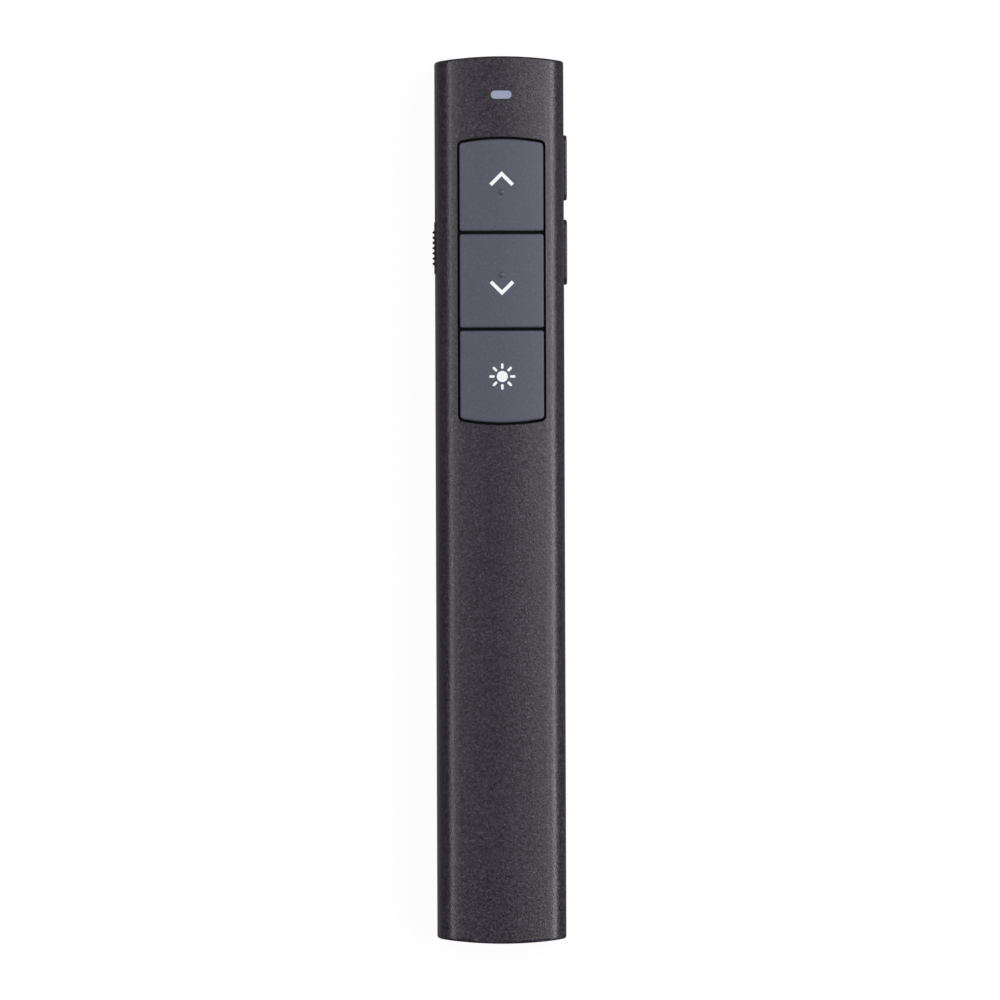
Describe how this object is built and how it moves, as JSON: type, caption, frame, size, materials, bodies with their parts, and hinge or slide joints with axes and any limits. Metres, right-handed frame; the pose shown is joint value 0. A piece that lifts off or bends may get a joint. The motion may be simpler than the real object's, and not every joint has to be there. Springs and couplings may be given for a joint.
{
  "type": "wireless presentation clicker",
  "caption": "Slim pen-shaped presentation remote with face keys, side keys, a power slider, a laser in the nose, a sliding battery cover and a receiver in the tail.",
  "frame": {"origin": "under the middle of the case, on the plane of its flat back", "axes": "+Y towards the laser end, +Z out of the face with the keys, +X towards the side keys"},
  "size_m": [0.0207, 0.136, 0.0146],
  "materials": {
    "case_plastic": "fine sparkling texture",
    "key_plastic": "smooth matt",
    "clear_plastic": "frosted",
    "window_plastic": "clear, dark red",
    "board": "satin",
    "switch_case": "satin",
    "plunger_plastic": "smooth",
    "chip_plastic": "matt",
    "ceramic": "matt",
    "lamp_plastic": "gloss",
    "steel": "bright",
    "barrel_brass": "turned",
    "lens_glass": "clear",
    "cell_wrap": "gloss wrap",
    "lead_rubber": "smooth",
    "receiver_plastic": "matt",
    "tongue_plastic": "matt"
  },
  "bodies": {
    "housing": {"top_shell": "case_plastic", "bottom_shell": "case_plastic", "light_window": "clear_plastic", "laser_window": "window_plastic", "main_board": "board", "laser_driver": "board", "page_up_switch": "switch_case", "page_down_switch": "switch_case", "laser_switch": "switch_case", "upper_side_switch": "switch_case", "lower_side_switch": "switch_case", "power_switch": "switch_case", "radio_chip": "chip_plastic", "capacitor_1": "ceramic", "capacitor_2": "ceramic", "capacitor_3": "ceramic", "status_lamp": "lamp_plastic", "front_screw": "steel", "rear_screw": "steel", "positive_contact": "steel", "negative_contact": "steel", "battery_spring": "steel", "crystal": "steel", "laser_diode": "steel", "laser_barrel": "barrel_brass", "laser_lens": "lens_glass", "battery_cell": "cell_wrap", "battery_lead": "lead_rubber", "laser_lead_left": "lead_rubber", "laser_lead_right": "lead_rubber"},
    "page_up_button": {"page_up_key": "key_plastic", "page_up_plunger": "plunger_plastic"},
    "page_down_button": {"page_down_key": "key_plastic", "page_down_plunger": "plunger_plastic"},
    "laser_button": {"laser_key": "key_plastic", "laser_plunger": "plunger_plastic"},
    "upper_side_button": {"upper_side_key": "case_plastic", "upper_side_plunger": "plunger_plastic"},
    "lower_side_button": {"lower_side_key": "case_plastic", "lower_side_plunger": "plunger_plastic"},
    "slider": {"power_slider": "case_plastic", "power_switch_actuator": "plunger_plastic"},
    "cover": {"battery_cover": "case_plastic"},
    "receiver": {"receiver_head": "receiver_plastic", "receiver_plug": "steel", "receiver_tongue": "tongue_plastic"}
  },
  "joints": [
    {"name": "page_up_press", "type": "slide", "parent": "housing", "child": "page_up_button", "axis": [0, 0, -1], "range_m": [0, 0.0003], "stiffness_N_per_m": 1000, "springref_m": -0.0003},
    {"name": "page_down_press", "type": "slide", "parent": "housing", "child": "page_down_button", "axis": [0, 0, -1], "range_m": [0, 0.0003], "stiffness_N_per_m": 1000, "springref_m": -0.0003},
    {"name": "laser_press", "type": "slide", "parent": "housing", "child": "laser_button", "axis": [0, 0, -1], "range_m": [0, 0.0003], "stiffness_N_per_m": 1000, "springref_m": -0.0003},
    {"name": "upper_side_press", "type": "slide", "parent": "housing", "child": "upper_side_button", "axis": [-1, 0, 0], "range_m": [0, 0.0003], "stiffness_N_per_m": 1000, "springref_m": -0.0003},
    {"name": "lower_side_press", "type": "slide", "parent": "housing", "child": "lower_side_button", "axis": [-1, 0, 0], "range_m": [0, 0.0003], "stiffness_N_per_m": 1000, "springref_m": -0.0003},
    {"name": "power_slide", "type": "slide", "parent": "housing", "child": "slider", "axis": [0, 1, 0], "range_m": [0, 0.002]},
    {"name": "cover_slide", "type": "slide", "parent": "housing", "child": "cover", "axis": [0, -1, 0], "range_m": [0, 0.075]},
    {"name": "receiver_slide", "type": "slide", "parent": "housing", "child": "receiver", "axis": [0, -1, 0], "range_m": [0, 0.02]}
  ]
}
